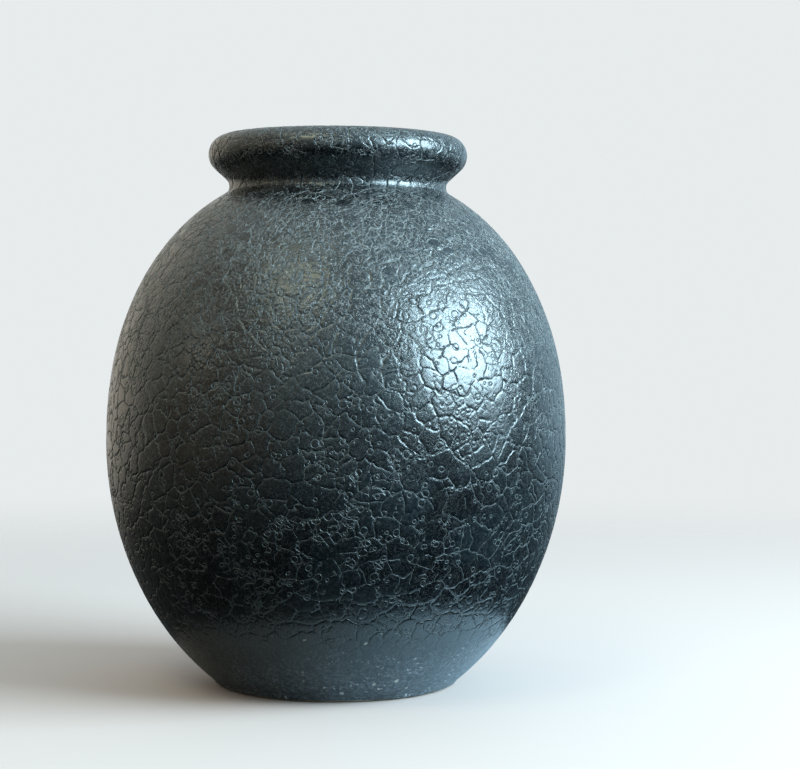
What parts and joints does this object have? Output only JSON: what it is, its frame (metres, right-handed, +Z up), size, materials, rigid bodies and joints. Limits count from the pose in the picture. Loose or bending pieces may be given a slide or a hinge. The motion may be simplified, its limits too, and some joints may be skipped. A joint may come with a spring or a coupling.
{
  "type": "black clay pot",
  "caption": "Ovoid clay pot with a thick rolled lip, a short pinched waist and a small flat foot, coated in black crackled glaze; stands on its foot and holds stems or dry goods.",
  "frame": {"origin": "centre of the foot, on the surface that the pot stands on", "axes": "+Z up along the pot's axis, from the foot to the mouth; the pot is round, so +X and +Y are free, with -Y towards the viewer"},
  "size_m": [0.2834, 0.2834, 0.3374],
  "materials": {
    "bare_clay": "fired, unglazed, matt buff clay",
    "black_glaze": "satin black glaze with a blue-green sheen, raised crackle cells and small ring craters"
  },
  "bodies": {
    "root": {"floor_slab": "bare_clay", "lower_wall": "bare_clay", "upper_wall": "bare_clay", "neck_collar": "bare_clay", "rolled_lip": "bare_clay", "glaze_coat": "black_glaze"}
  },
  "joints": []
}
